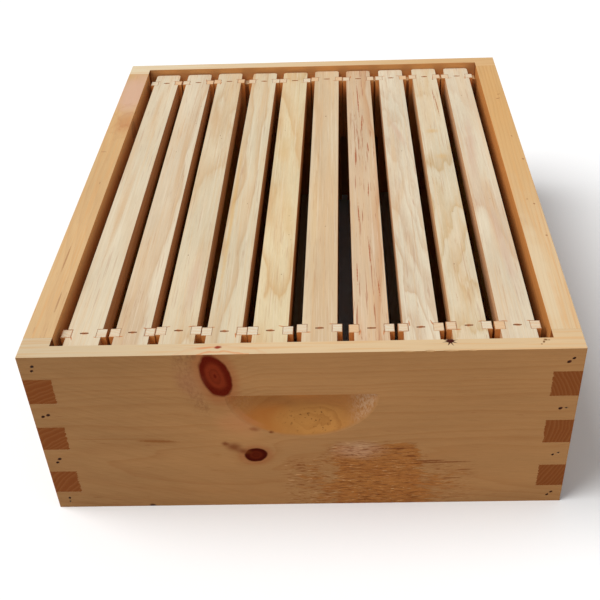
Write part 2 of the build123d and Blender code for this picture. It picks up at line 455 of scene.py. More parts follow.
def board_marks(out, knots, pale, extra, furry=(0.7, 0.8)):
    """Marks of a box board, whose outer face looks towards out.

    pale is how light its rim is at the two ends of its long axis, and furry how whitish the scoop is."""
    along, axis = ("X", "Y") if out.y else ("Y", "X")
    plane = along + "Z"

    def marks(surface):
        g, place = surface.g, surface.place
        u, v = surface.at[along], surface.at["Z"]
        depth = g.line(surface.at[axis], -out.x - out.y, HALF[axis])

        # rims are planed and pale; upright faces get painted shade, warmer inside the box as of bounced
        # light
        surface.stain(RIM_PALE, surface.level, g.between(u, -HALF[along], HALF[along], *pale))
        lines = g.noise(place, (0.012, 0.5, 0.5) if along == "X" else (0.5, 0.012, 0.5), 3)
        surface.stain((206, 158, 106), surface.level, g.between(lines, 0.5, 0.64, 0.0, 0.5))
        flat = g.between(g.size(surface.normal[axis]), 0.5, 0.9)
        inside = g.times(flat, g.between(depth, BOARD * 0.5, BOARD * 0.6))
        # painted shade on the upright faces, outside and in
        surface.tint(g.mix(inside, PAINTED_SIDE_SHADE, PAINTED_INNER_SHADE), surface.upright)

        # the scoop's fresh cut is amber, with fine rings and specks
        near = g.times(
            g.until(g.size(u), HOLD_HALF, HOLD_HALF + 3),
            g.between(v, HOLD_FOOT - 4, HOLD_FOOT - 2),
            g.until(v, HOLD_LEDGE, HOLD_LEDGE + 1),
            g.between(depth, 0.1, 1.6),
            g.until(depth, BOARD * 0.8, BOARD * 0.9),
        )
        surface.tint((1.0, 0.84, 0.62, 1), near)
        bowl = surface.away_from(plane, (7.0, 92.0), (34.0, 14.0), 0, 0.9)
        curl = g.times(g.between(g.rings(bowl, 2.6), 0.3, 0.95), g.between(u, -14, 26, 0.12, 0.5))
        surface.blot(plane, (-30, 96), (30, 18), (178, 108, 46), 0.75, where=near)
        surface.blot(plane, (14, 116), (34, 14), (176, 116, 62), 0.5, where=near)
        surface.stain(g.mix(curl, (184, 128, 66), (150, 94, 42)), near, g.until(bowl, 0.4, 1.45, 0.9))
        specks = g.noise(place, (0.35, 0.35, 0.6), roughness=0.7)
        surface.stain((92, 52, 24), near, g.between(specks, 0.6, 0.68), g.until(bowl, 0.3, 1.0, 0.8))

        # it is furry at its ends, where the cutter crossed the fibres
        ends = g.times(near, g.between(g.size(surface.normal[along]), 0.22, 0.34))
        fur = g.noise(place, (0.7, 0.7, 0.25), 4, 0.75)
        surface.stain((186, 148, 112), ends, g.between(u, -20, 20, *furry), g.between(fur, 0.36, 0.62))
        surface.height = g.line(ends, g.times(fur, 5.0), surface.height)

        surface.knots(plane, knots, surface.upright)
        staple_stains(surface, out, along, g.until(depth, 1.5, 2.5))
        extra(surface, depth, inside)

    return marks


def torn_cover(g, u, v):
    """How thickly torn grain lies at a place of the front face, from 0 to 1. torn_amount says the same."""
    u = g.line(g.noise(g.join(0.0, 0.0, v), 0.16), 22, g.math("SUBTRACT", u, 11))
    across = g.math("ADD", g.between(u, -36, 12, 0.0, 0.5), g.between(u, 18, 36, 0.0, 0.5))
    far = g.math("ADD", g.between(u, 84, 98, 0.0, 0.5), g.between(u, 100, 156, 0.0, 0.5))
    top = g.math("ADD", g.between(u, 84, 104, 76, 54), g.between(u, 8, 26, -16, 0))
    return g.times(g.math("SUBTRACT", across, far), g.between(g.math("SUBTRACT", top, v), -2, 12))


def front_marks(surface, depth, _):
    """What only the front board has: torn grain, a resin streak, smudges, and feathery wood at a knot."""
    g, place = surface.g, surface.place
    u, v = surface.at["X"], surface.at["Z"]
    on_face = g.times(surface.upright, g.until(depth, 2.0, 3.0))

    def face_blot(*what, **how):
        surface.blot("XZ", *what, where=on_face, **how)

    cover = torn_cover(g, u, v)
    along = g.join(u, 0.0, g.line(g.noise(place, 0.07), 5.0, v))
    fibres = g.noise(along, (0.075, 1, 0.6), 4, 0.66)
    cloud = g.noise(along, (0.035, 1, 0.1), 3)
    flecks = g.noise(g.vector("ADD", g.vector("MULTIPLY", along, (0.06, 1, 0.7)), (31, 5, 0)), 1.0, 3, 0.6)
    amount = g.sway(fibres, 1.3, g.sway(cloud, 1.5, g.times(cover, 0.9)))
    shows = g.times(g.between(amount, 0.34, 0.66), g.between(cover, 0.02, 0.2), on_face)
    surface.tint((0.86, 0.89, 0.93, 1), g.until(u, -206, -40, 0.8))
    surface.tint((0.98, 0.74, 0.46, 1), shows, 0.9)
    face_blot((42, 64), (28, 14), (196, 158, 128), 0.45, soft=0.8)
    surface.stain((118, 64, 26), shows, g.until(fibres, 0.38, 0.49, 0.85))
    surface.stain((220, 172, 112), shows, g.between(flecks, 0.58, 0.7, 0.0, 0.4))
    surface.height = g.line(g.times(shows, fibres), 9.0, surface.height)
    for x, z, long, high in ((110, 49, 30, 1.0), (100, 51, 16, 1.3), (128, 40, 9, 0.8), (118, 30, 12, 0.8),
                             (70, 66, 20, 1.0)):
        face_blot((x, z), (long, high), (118, 62, 26), 0.8, 1, wobble=0.7)

    # faint slanting ripples over the left half
    ripples = g.noise(g.join(g.times(u, 0.03), 0.0, g.times(g.line(u, 0.34, g.times(v, 0.94)), 0.42)))
    surface.tint((0.9, 0.89, 0.86, 1), g.between(ripples, 0.4, 0.66), g.until(u, -120, 20, 0.6), on_face)

    # short dashes of lifted grain round the torn patch
    dashes = g.noise(along, (0.1, 1, 0.85), roughness=0.6)
    near = g.times(g.between(cover, 0.02, 0.3), g.between(u, 30, 60, 1.0, 0.6), on_face)
    surface.stain((126, 70, 30), near, g.between(dashes, 0.55, 0.62, 0.0, 0.8))
    surface.stain((232, 186, 134), near, g.until(dashes, 0.3, 0.38, 0.5))

    resin, smudge = (134, 80, 36), (116, 58, 24)
    face_blot((-117, 78), (21, 2.1), resin, 0.85, -3, wobble=0.4)
    face_blot((-144, 81), (56, 1.0), resin, 0.4, -1, wobble=0.3)
    for centre, radii in (((-56, 70), (10, 7.5)), ((-49, 65), (9, 5)), ((-63, 74), (4.5, 3.6)),
                          ((-39, 90), (6, 3.4)), ((-26, 86), (3, 1.6))):
        face_blot(centre, radii, smudge, 0.85, -12, soft=0.9)
    face_blot((-131, 1), (3.6, 2.4), (60, 30, 22), 0.9)
    face_blot((-46, 100), (30, 24), (188, 124, 78), 0.5, 20, soft=0.9)

    # feathery wood on the far side of the big knot from the scoop
    swirl = surface.away_from("XZ", (-66, 144), (12, 21), 12, 1.0)
    swirl = g.times(g.between(swirl, 1.1, 1.4), g.until(swirl, 1.7, 2.6), g.until(u, -76, -68))
    hairs = g.noise(place, (0.55, 0.55, 0.3), 4, 0.75)
    surface.stain((118, 74, 44), swirl, g.between(hairs, 0.42, 0.62, 0.0, 0.5), on_face)
    face_blot((-84, 141), (15, 28), (156, 104, 72), 0.45, 14, soft=0.9)
    front_rim_marks(surface)


def front_rim_marks(surface):
    """Red dots inside orange arcs over the big knot, a speck with fine legs, and small brown dots."""
    g = surface.g
    swirl = surface.away_from("XY", (-60, -262), (38, 17), 4, 0.5)
    arcs = g.between(g.rings(swirl, 3.1), 0.5, 0.95)
    surface.stain((206, 124, 72), g.until(swirl, 0.35, 1.15, 0.8), arcs, surface.level)
    surface.top_blot((-70, -248), (11, 1.6), (206, 120, 66), 0.55, 8)
    surface.top_blot((-60.5, -247.5), (3.4, 2.2), (138, 34, 12), 0.95, 8)
    surface.top_blots((62, 20, 12), 0.95, (
        (111, -244.6, 3.4, 3.2), (111, -245, 6.4, 0.8, 14), (111, -245, 6.2, 0.8, -24),
        (111, -246, 5.4, 0.8, 62), (111, -246, 5.2, 0.8, -62),
    ), soft=0.4)
    surface.top_blots((112, 70, 30), 0.9, (
        (177.4, -250, 1.0, 0.8), (179.4, -247.4, 1.9, 1.1, 70), (181, -245.2, 2.1, 1.3, -20),
        (183.4, -245.6, 1.2, 0.7),
    ))


def left_marks(surface, depth, inside):
    """Pinkish and brown clouds at the back of the left rim, and painted light on the inner wall."""
    g = surface.g
    surface.top_blot((-196, 184), (24, 66), (204, 166, 146), 0.7, soft=0.7)
    surface.top_blot((-192, 112), (18, 34), (176, 108, 66), 0.45, soft=0.9)
    swirl = surface.away_from("XY", (-190, 118), (26, 44), 0, 0.9)
    rings = g.between(g.rings(swirl, 2.3), 0.6, 0.95, 0.0, 0.3)
    surface.stain((160, 92, 58), rings, g.until(swirl, 0.5, 1.3, 0.5), surface.level)
    surface.top_blots((128, 66, 36), 0.45, (
        (-204, 52, 3.6, 1.0), (-196, -8, 0.8, 2.2), (-200, -130, 1.0, 26), (-193, -190, 1.0, 18),
    ))
    painted_light_inside(surface, depth, inside)


def painted_light_inside(surface, _, inside):
    """Painted light on an inner wall, to make it lighter than the others."""
    # painted light
    surface.stain((255, 190, 124), inside, 0.5)


def right_marks(surface, *_):
    """The right rim: golden behind, paler and streaked at the front, with small specks."""
    surface.top_blot((200, 70), (26, 190), (206, 158, 96), 0.4, soft=0.7)
    surface.top_blot((192, -170), (11, 110), RIM_PALE, 0.5, soft=0.7)
    surface.top_blots((136, 82, 44), 0.7, (
        (204, -60, 1.2, 1.6), (199, -52, 1.0, 1.0), (207, 20, 1.4, 2.0), (203, 66, 1.0, 1.6),
        (201, 150, 3.2, 1.0), (203, 160, 2.4, 0.8), (206, -110, 1.2, 1.4),
    ), lean=20)


FRONT_KNOTS = [((-64.0, 146.6), (11.0, 21.4), 11, *DARK_KNOT), ((-39.7, 60.8), (9.2, 7.6), 4, *BLACK_KNOT)]
BOARDS = {  # each board's own wood, and its marks
    "front_board": (
        dict(pith=(0.02, -0.165, 0.045), tilt=(0, 1.5, -2), spacing=4.2, contrast=0.4, waviness=0.6),
        dict(knots=FRONT_KNOTS, pale=(0.65, 0.45), furry=(0.1, 0.85), extra=front_marks),
    ),
    "back_board": (
        dict(pith=(0.0, 0.33, 0.03), tilt=(0, 2, 1.5), spacing=4.6, contrast=0.45, waviness=0.8),
        dict(knots=[((96, 58), (9, 7), 10, *DARK_KNOT)], pale=(1.0, 0.15), extra=painted_light_inside),
    ),
    "left_side_board": (
        dict(pith=(-0.14, 0.0, -0.02), tilt=(1, 0, 1), spacing=4.0, contrast=0.5, waviness=0.6),
        dict(knots=[((120, 156), (9, 9), -12, *DARK_KNOT)], pale=(0.25, 0.1), extra=left_marks),
    ),
    "right_side_board": (
        dict(pith=(0.1, 0.0, 0.09), tilt=(0.5, 0, -1), spacing=3.0, contrast=0.6, waviness=0.35),
        dict(knots=[((-150, 40), (7, 6), 0, *BLACK_KNOT)], pale=(0.5, 0.0), extra=right_marks),
    ),
}
for name, (wood, marks) in BOARDS.items():
    out = FACES[name]
    grain = "X" if out.y else "Y"
    pine(name, 0.5, grain, tones=BOX_TONES, marks=board_marks(out, **marks), **wood)


# ---- frames ----
# Each top bar's own wood: early and late tones, how far the tree's middle lies to the side and below,
# in millimetres, how the grain slopes, ring spacing, waviness and resin.
TOP_BARS = [
    ((208, 193, 166), (192, 158, 120), (14, -52), (0.4, -0.5), 8.0, 0.5, 0.30),
    ((209, 194, 168), (190, 158, 122), (-20, -60), (0.3, 0.6), 7.0, 0.6, 0.45),
    ((206, 190, 161), (192, 162, 124), (6, -30), (1.6, -1.0), 9.0, 1.2, 0.20),
    ((205, 190, 161), (190, 157, 118), (-34, -40), (0.5, 0.5), 7.0, 0.6, 0.35),
    ((208, 190, 154), (194, 160, 114), (4, -22), (2.2, 0.5), 8.5, 1.3, 0.25),
    ((203, 181, 149), (192, 161, 124), (30, -70), (0.3, -0.4), 6.0, 0.4, 0.20),
    ((200, 174, 143), (184, 138, 101), (-26, -30), (0.4, 0.3), 3.6, 0.5, 1.00),
    ((209, 195, 170), (191, 163, 133), (2, -20), (3.0, 1.5), 5.5, 1.8, 0.25),
    ((207, 192, 164), (188, 158, 114), (-3, -22), (2.8, -0.5), 7.0, 1.6, 0.50),
    ((206, 192, 167), (190, 159, 130), (0, -24), (1.8, 0.4), 10.0, 1.1, 0.25),
]
RESINOUS = "07"  # the frame whose top bar has many lines of resin
END_BAR_TONES = ((228, 186, 132), (206, 152, 98), (213, 199, 174))
LUG_END = (190, 150, 108)
PAINTED_BAR_SHADE = (0.98, 0.66, 0.45, 1)  # painted warm shade on the sides of the bars, as of light coming off other wood
PAINTED_EDGE_SHADE, PAINTED_FACE_LIGHT = (0.72, 0.5, 0.34, 1), (1.1, 0.78, 0.5, 1)  # painted shade on the end bars' edges, and painted warm light on their broad faces
RUST = (184, 104, 50)  # what staples have left in the wood
TAN, GOLD, PINKISH = (196, 158, 116), (202, 160, 98), (196, 160, 136)
SPLITS = ((3.6, 0.7), (0.7, 4.2), (2.0, 0.6))  # half sizes of the brown splits beside the prongs

# Marks on each top bar: x from its middle, y, half sizes and lean. Blots also have a shade and strength,
# and specks only one size.
BAR_MARKS = {
    "01": dict(blots=[(-3, -40, 4, 120, -1, TAN, 0.5), (-1, 150, 3.5, 70, 1, TAN, 0.45)]),
    "02": dict(blots=[(4, 40, 3.5, 130, 1, TAN, 0.5)],
               specks=[(10, 160, 0.5), (9, 120, 0.6), (-4, 60, 0.5)]),
    "03": dict(blots=[(-6, 130, 9, 60, 2, TAN, 0.4), (4, -160, 7, 60, -2, PINKISH, 0.4)],
               specks=[(2, 92, 0.6), (4, 86, 0.5), (-5, -120, 0.6)]),
    "04": dict(blots=[(-10.5, -60, 3, 190, 0, GOLD, 0.6)], specks=[(2, -40, 0.5)]),
    "05": dict(blots=[(-4, 60, 9, 40, 0, GOLD, 0.35), (5, -60, 8, 60, 4, GOLD, 0.3)],
               specks=[(3, -150, 0.5), (-4, 100, 0.5), (6, -62, 0.5), (8, -70, 0.4),
                       (7, -92, 0.5), (9, -100, 0.4)]),
    "06": dict(blots=[(-8, -60, 5, 150, 0, GOLD, 0.3)], specks=[(1, 130, 0.8), (2, -80, 0.5)]),
    "07": dict(streaks=[(-2, 168, 0.8, 50, 1), (1, 112, 0.8, 26, -3), (6, 60, 0.7, 14, 2),
                        (-7, 40, 0.6, 20, 0), (-6, -60, 0.7, 22, 1), (4, -20, 0.6, 16, -2),
                        (2, -120, 0.7, 24, 1), (-9, -150, 0.6, 18, 0), (8, -170, 0.6, 14, 2)]),
    "08": dict(blots=[(0, 90, 5, 46, 12, PINKISH, 0.5), (-4, -30, 5, 60, -9, TAN, 0.35)],
               specks=[(2, 52, 0.6)]),
    "09": dict(blots=[(-2, 92, 9, 7, 8, GOLD, 0.5), (3, 40, 8, 8, -14, GOLD, 0.4)],
               streaks=[(8, 150, 0.5, 32, 2), (6, 176, 0.5, 20, 0)],
               specks=[(9, 214, 1.0), (-3, -140, 0.6), (4, -60, 0.5)]),
    "10": dict(blots=[(-3, 60, 7, 90, -3, PINKISH, 0.5), (4, -120, 6, 90, 3, PINKISH, 0.45)],
               specks=[(0, 172, 0.6), (-2, 158, 0.5), (3, -40, 0.4)]),
}


def top_corners(node, deep):
    """Corners of a piece that lie no further than deep below its top, in millimetres."""
    corners = [vertex.co / MM for vertex in NODES[node].data.vertices]
    top = max(corner.z for corner in corners)
    return [corner for corner in corners if corner.z > top - deep]


def oval_round(corners):
    """The middle and the half sizes of a group of corners, seen from above."""
    xs, ys = [corner.x for corner in corners], [corner.y for corner in corners]
    middle = ((min(xs) + max(xs)) / 2, (min(ys) + max(ys)) / 2)
    return middle, ((max(xs) - min(xs)) / 2, (max(ys) - min(ys)) / 2)


def prongs(number):
    """The tops of a frame's four prongs, each with its side of the bar, -1 or 1."""
    corners = top_corners("end_bars_" + number, 1)
    for end in (-1, 1):
        at_end = [c for c in corners if c.y * end > 0]
        centre = sum(c.x for c in at_end) / len(at_end)
        for side in (-1, 1):
            yield side, oval_round([c for c in at_end if (c.x - centre) * side > 0])


def bar_marks(streaks=(), specks=(), blots=(), staples=(), splits=(), dashes=0.2):
    """Marks of a frame's bar: painted warm shade on its sides, and on its top faint lines, stains and
    splits.

    dashes is how strongly short lines of resin show along it."""

    def marks(surface):
        g, place, level = surface.g, surface.place, surface.level
        # painted warm shade on the bars' sides
        surface.tint(PAINTED_BAR_SHADE, surface.upright)
        lines = g.noise(place, (0.5, 0.007, 0.5), 4, 0.62)
        surface.stain((206, 162, 110), level, g.between(lines, 0.5, 0.68, 0.0, 0.26))
        surface.stain((228, 214, 190), level, g.until(lines, 0.32, 0.45, 0.3))
        warm = g.noise(place, (0.09, 0.006, 0.09), 3)
        surface.stain((206, 168, 124), level, g.between(warm, 0.5, 0.66, 0.0, 0.24))
        resin = g.noise(place, (0.75, 0.018, 0.75), 3, 0.62)
        surface.stain((150, 74, 38), level, g.between(resin, 0.6, 0.65, 0.0, dashes))
        for centre, (wide, _) in staples:
            surface.top_blot(centre, (wide + 0.4, 2.0), RUST, 0.8, soft=0.7, wobble=1.0)
        surface.top_blots(RUST, 0.85, splits, wobble=0.9)
        for *spot, shade, strength in blots:
            surface.top_blots(shade, strength, [spot], soft=0.9)
        surface.top_blots((158, 80, 42), 0.85, streaks, wobble=1.2)
        surface.top_blots((96, 50, 30), 0.85, [(*at, size, size * 1.4) for *at, size in specks])

    return marks


def ear_marks(ears):
    """Marks of the end bars: painted shade on their edges and painted light on their broad faces, and brown
    ragged borders round the ends of their prongs.
    """
    dice = random.Random(round(ears[0][0][0]))

    def marks(surface):
        g = surface.g
        facing = g.between(g.size(surface.normal["Y"]), 0.5, 0.9)
        # painted shade on the edges and painted light on the broad faces
        surface.tint(g.mix(facing, PAINTED_EDGE_SHADE, PAINTED_FACE_LIGHT), surface.upright)
        ragged = g.noise(surface.place, 0.8, 3, 0.7)
        for (x, y), (wide, long) in ears:
            u = g.size(g.line(surface.at["X"], 1 / wide, -x / wide))
            v = g.size(g.line(surface.at["Y"], 1 / long, -y / long))
            here = g.times(g.until(u, 1.1, 1.2), g.until(v, 1.1, 1.2), surface.level)
            surface.stain((212, 168, 122), here, dice.choice((0.0, 0.15, 0.35, 0.7)))
            edge = dice.uniform(0.95, 1.12)
            rim = g.line(ragged, 0.5, g.math("MAXIMUM", u, v))
            surface.stain((166, 100, 58), here, g.between(rim, edge, edge + 0.24, 0.0, 0.7))

    return marks


def dress_frame(number, look, dice):
    """The wood of a frame's bars. Each is from another stretch of a tree, so its pith lies elsewhere."""
    early, late, (aside, below), (slope, skew), spacing, waviness, resin = look
    low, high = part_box("top_bar_" + number)
    middle, step = (low + high) / 2, int(number)

    tops = top_corners("frame_staples_" + number, 2)
    staples = [oval_round([c for c in tops if c.y * end > 0]) for end in (-1, 1)]
    ears, splits = [], []
    for side, ear in prongs(number):
        (x, y), (wide, long) = ear
        ears.append(ear)
        beside = (x - side * (wide + dice.uniform(0, 1)), y + long * dice.choice((-1, 1)))
        splits.append((*beside, *dice.choice(SPLITS), dice.uniform(-20, 20)))
    own = {}
    for kind, spots in BAR_MARKS[number].items():
        own[kind] = [(x + middle.x / MM, *rest) for x, *rest in spots]

    tones = (early, late, LUG_END)
    pith = (middle.x + aside * MM, step * 0.37, middle.z + below * MM)
    marks = bar_marks(staples=staples, splits=splits, dashes=0.62 if number == RESINOUS else 0.22, **own)
    tilt = (slope, 0, skew)
    pine("top_bar_" + number, 0.4, "Y", pith, tones, marks, spacing, 0.9, tilt, waviness, resin)
    pith = (middle.x + 0.06, step * 0.05, 0.1)
    pine("end_bars_" + number, 0.3, "Z", pith, END_BAR_TONES, ear_marks(ears), 3.5, 0.5, resin=0.3)
    pith = (middle.x - 0.03, step * 0.21, -0.04)
    pine("bottom_bar_" + number, 0.3, "Y", pith, tones, bar_marks(), 4.0, 0.5, resin=0.4)


frame_dice = random.Random(3)
for number, look in zip(FRAMES, TOP_BARS):
    dress_frame(number, look, frame_dice)


# ---- staples ----
def wire_material(name, base, roughness, metallic=0.7):
    """Drawn wire with dull patches."""
    material, g = new_material(name)
    patches = g.noise(g.node("TexCoord").outputs["Object"], 900, 3)
    g.finish({
        "Base Color": g.mix(g.between(patches, 0.35, 0.65), base, linear(base, 0.4)),
        "Roughness": g.between(patches, 0.3, 0.7, roughness, roughness + 0.25),
        "Metallic": metallic,
    })
    return material


dress("box_staples", wire_material("box_staples", (44, 26, 20), 0.6, 0.2))
frame_wire = wire_material("frame_staples", (104, 58, 32), 0.55, 0.2)
for number in FRAMES:
    dress("frame_staples_" + number, frame_wire)


# ---- new pieces ----
def add_piece(name, mesh, material, body, place=Matrix.Identity(4)):
    """Puts a mesh into the scene as a piece of a body, with its finish."""
    piece = bpy.data.objects.new(name, mesh)
    bpy.context.collection.objects.link(piece)
    piece.matrix_world = place
    if not mesh.materials:
        mesh.materials.append(material)
    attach(piece, body)
    return piece


def mesh_of(name, corners, faces):
    mesh = bpy.data.meshes.new(name)
    mesh.from_pydata([tuple(corner) for corner in corners], [], faces)
    mesh.validate()
    mesh.update()
    return mesh


def slab(rows, back):
    """Corners and faces of a closed plate: rows is a grid of points, and back(point) its point behind."""
    front = [point for row in rows for point in row]
    corners = front + [back(point) for point in front]
    wide, count, faces = len(rows[0]), len(front), []
    last = count - wide  # first point of the last row
    for a in range(last):
        b, c, d = a + 1, a + 1 + wide, a + wide
        if b % wide:
            faces += [(a, b, c, d), (a + count, d + count, c + count, b + count)]
    rim = [*range(wide), *range(2 * wide - 1, count, wide)]
    rim += [*range(count - 2, last - 1, -1), *range(last - wide, 0, -wide)]
    for here, after in zip(rim, rim[1:] + rim[:1]):
        faces.append((after, here, here + count, after + count))
    return corners, faces


# ---- torn grain of the front board ----
RELIEF = 0.42  # how far the torn fibres stand proud
RELIEF_ROOT = 0.8  # how deep the patch is let into the board
RELIEF_DIP = -0.3  # how far under the face its clean places lie
RELIEF_FOOT, RELIEF_RISE = 0.8, 79.0  # the patch's lower edge, and its height
RELIEF_LEFT, RELIEF_RIGHT = -24.0, 156.0
STEPS_X, STEPS_Z = 190, 140


def smooth_step(value, low, high):
    part = min(max((value - low) / (high - low), 0.0), 1.0)
    return part * part * (3 - 2 * part)


def torn_amount(x, z):
    """How thickly torn grain lies at a place of the front face, from 0 to 1."""
    x += 9 * noise.noise(Vector((0.5, 0.5, z * 0.16)))
    across = 0.5 * smooth_step(x, -36, 12) + 0.5 * smooth_step(x, 18, 36)
    across -= 0.5 * smooth_step(x, 84, 98) + 0.5 * smooth_step(x, 100, 156)
    top = 76 - 22 * smooth_step(x, 84, 104) - 16 * (1 - smooth_step(x, 8, 26))
    return across * smooth_step(top - z, -2, 12) * smooth_step(z, 0, 3)


def torn_height(x, z):
    """How far the fibres stand out of the front face at a place in millimetres. Below 0 none show."""
    warp = z + 2.2 * noise.noise(Vector((x * 0.06, 5.3, z * 0.1)))
    long_fibres = noise.fractal(Vector((x * 0.09, 3.1, warp * 0.6)), 0.6, 2.1, 4)
    short_fibres = noise.noise(Vector((x * 0.3, 7.7, warp * 1.3)))
    return RELIEF * (torn_amount(x, z) * (0.75 + 1.2 * long_fibres + 0.5 * short_fibres) - 0.5)


def torn_grain():
    """The patch as a plate that is let into the board, with the board's own look."""

    def fibre(i, j):
        x = RELIEF_LEFT + (RELIEF_RIGHT - RELIEF_LEFT) * j / STEPS_X
        z = RELIEF_FOOT + RELIEF_RISE * i / STEPS_Z
        out = min(max(torn_height(x, z), RELIEF_DIP), RELIEF)
        return Vector((x, LOW.y - out, z)) * MM

    def root(point):
        return Vector((point.x, (LOW.y + RELIEF_ROOT) * MM, point.z))

    rows = [[fibre(i, j) for j in range(STEPS_X + 1)] for i in range(STEPS_Z + 1)]
    mesh = mesh_of("torn_grain", *slab(rows, root))
    add_piece("torn_grain", mesh, NODES["front_board"].data.materials[0], BOX_BODY)


torn_grain()


# ---- comb foundation ----
CELL = 5.4  # from one cell to the next
CELL_DEPTH = 0.78  # of the embossing, on each side
SHEET = 2.0  # its thickness
WIRE_PITCH, WIRE_RADIUS = 50.8, 0.27
WIRE_SHORT = 2.0  # how much shorter than the sheet is high
CRIMP, CRIMP_WAVE = 3.2, 0.96  # from one bend of a wire to the next, and how far it bends aside


def wax_material():
    """Beeswax sheet: amber, cloudy, a little shiny and slightly translucent-looking."""
    material, g = new_material("beeswax")
    spot = g.node("TexCoord").outputs["Object"]
    cloud = g.noise(spot, 14, 4, 0.6)
    bloom = g.noise(spot, 60, 3, 0.7)
    shade = g.mix(g.between(cloud, 0.3, 0.7), (206, 146, 52), (226, 176, 84))
    g.finish({
        "Base Color": g.mix(g.between(bloom, 0.55, 0.75, 0.0, 0.4), shade, (236, 212, 150)),
        "Roughness": g.between(bloom, 0.3, 0.7, 0.38, 0.6),
        "Normal": g.bumps(g.noise(spot, 1800), 0.1 * MM, 0.3),
    })
    return material


def comb_corners(length, height):
    """Triangles of a rectangle tiled with six-sided cells: (y, z, deep) corners and triples of them.

    The cells that cross the rectangle's edge are pressed flat against it."""
    side = CELL / math.sqrt(3)
    rows, columns = int(height / (1.5 * side)) + 3, int(length / CELL) + 3
    corners, places, triangles = [], {}, []

    def corner(y, z, deep):
        y = min(max(y, -length / 2), length / 2)
        z = min(max(z, -height / 2), height / 2)
        key = (round(y, 2), round(z, 2))
        if key not in places:
            places[key] = len(corners)
            corners.append((y, z, deep))
        return places[key]

    for row in range(rows):
        for column in range(columns):
            y = (column - columns / 2 + (row % 2) / 2) * CELL
            z = (row - (rows - 1) / 2) * 1.5 * side
            middle = corner(y, z, True)
            turns = [math.radians(60 * k) for k in range(6)]
            ring = [corner(y + side * math.sin(turn), z + side * math.cos(turn), False) for turn in turns]
            for here, after in zip(ring, ring[1:] + ring[:1]):
                (y0, z0, _), (y1, z1, _), (y2, z2, _) = (corners[k] for k in (middle, here, after))
                if abs((y1 - y0) * (z2 - z0) - (y2 - y0) * (z1 - z0)) > 1e-3:
                    triangles.append((middle, here, after))
    return corners, triangles


def foundation_mesh(length, height):
    """An upright sheet along Y with cell bottoms embossed in both sides."""
    corners, triangles = comb_corners(length, height)
    count = len(corners)
    points = []
    for face in (-1, 1):
        for y, z, deep in corners:
            points.append(Vector((face * (SHEET / 2 - (CELL_DEPTH if deep else 0.0)), y, z)) * MM)
    faces = [(a, c, b) for a, b, c in triangles]
    faces += [(a + count, b + count, c + count) for a, b, c in triangles]
    edges = {(a, b) for t in triangles for a, b in zip(t, t[1:] + t[:1])}
    faces += [(a, b, b + count, a + count) for a, b in edges if (b, a) not in edges]
    mesh = mesh_of("foundation_sheet", points, faces)
    shell = bmesh.new()
    shell.from_mesh(mesh)
    bmesh.ops.recalc_face_normals(shell, faces=shell.faces)
    shell.to_mesh(mesh)
    shell.free()
    return mesh


def wires_mesh(length, height):
    """Upright crimped wires along the sheet, four-sided."""
    points, faces = [], []
    count, crimps = int(length / WIRE_PITCH), int(height / CRIMP)
    for wire in range(count):
        y = (wire - (count - 1) / 2) * WIRE_PITCH
        for k in range(crimps + 1):
            bend = CRIMP_WAVE * (-1 if k % 2 else 1)
            z = (k / crimps - 0.5) * (height - WIRE_SHORT)
            start = len(points)
            for dx, dy in ((-1, 0), (0, -1), (1, 0), (0, 1)):
                points.append(Vector((dx * WIRE_RADIUS, y + bend + dy * WIRE_RADIUS, z)) * MM)
            for i in range(4 if k else 0):
                a, b = start + i, start + (i + 1) % 4
                faces.append((a - 4, b - 4, b, a))
            cap = tuple(range(start, start + 4))
            if k in (0, crimps):
                faces.append(cap if k else cap[::-1])
    return mesh_of("foundation_wires", points, faces)


def two_ends(node):
    """The middles of the front and the back end, in metres, of a frame's piece that lies along Y."""
    corners = [vertex.co for vertex in NODES[node].data.vertices]
    front = [corner for corner in corners if corner.y < 0]
    back = [corner for corner in corners if corner.y > 0]
    return sum(front, Vector()) / len(front), sum(back, Vector()) / len(back)


def comb_foundations():
    """The sheet and its wires, once for each frame, as that frame stands."""
    wax = wax_material()
    embedded_wire = wire_material("embedded_wire", (150, 146, 140), 0.4)
    low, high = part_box("foundation_" + FRAMES[0])
    front, back = two_ends("foundation_" + FRAMES[0])
    size = ((back - front).length / MM, (high.z - low.z) / MM)
    sheet, wires = foundation_mesh(*size), wires_mesh(*size)
    for number in FRAMES:
        front, back = two_ends("foundation_" + number)
        yaw = math.atan2(front.x - back.x, back.y - front.y)
        place = Matrix.Translation((front + back) / 2) @ Matrix.Rotation(yaw, 4, "Z")
        body = "frame_" + number
        piece = add_piece("comb_foundation_" + number, sheet, wax, body, place)
        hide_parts("foundation_" + number)
        add_piece("foundation_wires_" + number, wires, embedded_wire, body, place)


comb_foundations()


# ---- splinters at the finger joints and over the box's staples ----
PROUD, BURIED = 0.07, 0.2  # how far ragged fibres stand out of the face, and reach into it
TOOTH_STEP, TOOTH_LEAST, TOOTH_ROOT = 0.6, 0.05, 0.7  # from tooth to tooth, their least reach, their root
CROWN_DEPTH = 0.7  # how far under the face a crown's middle lies
FLAKE_HALF, FLAKE_ROOT = 0.85, 0.45  # half the width of a flake over a crown, and its thickness


def ragged_line(start, along, over, out, length, reach, dice):
    """A closed strip of torn fibres along a joint, whose teeth lie over the neighbouring end grain."""
    steps = max(int(length / TOOTH_STEP), 3)
    base, line, tips = [], [], []
    for k in range(steps + 1):
        here = start + along * (length * k / steps)
        tooth = reach * dice.random() ** 2.2 + TOOTH_LEAST
        fade = min(k, steps - k, 2) / 2
        base.append((here - over * TOOTH_ROOT - out * 0.03) * MM)
        line.append((here + out * PROUD * (0.4 + 0.6 * dice.random())) * MM)
        tips.append((here + over * tooth * fade + out * 0.015) * MM)
    return slab([base, line, tips], lambda point: point - out * BURIED * MM)


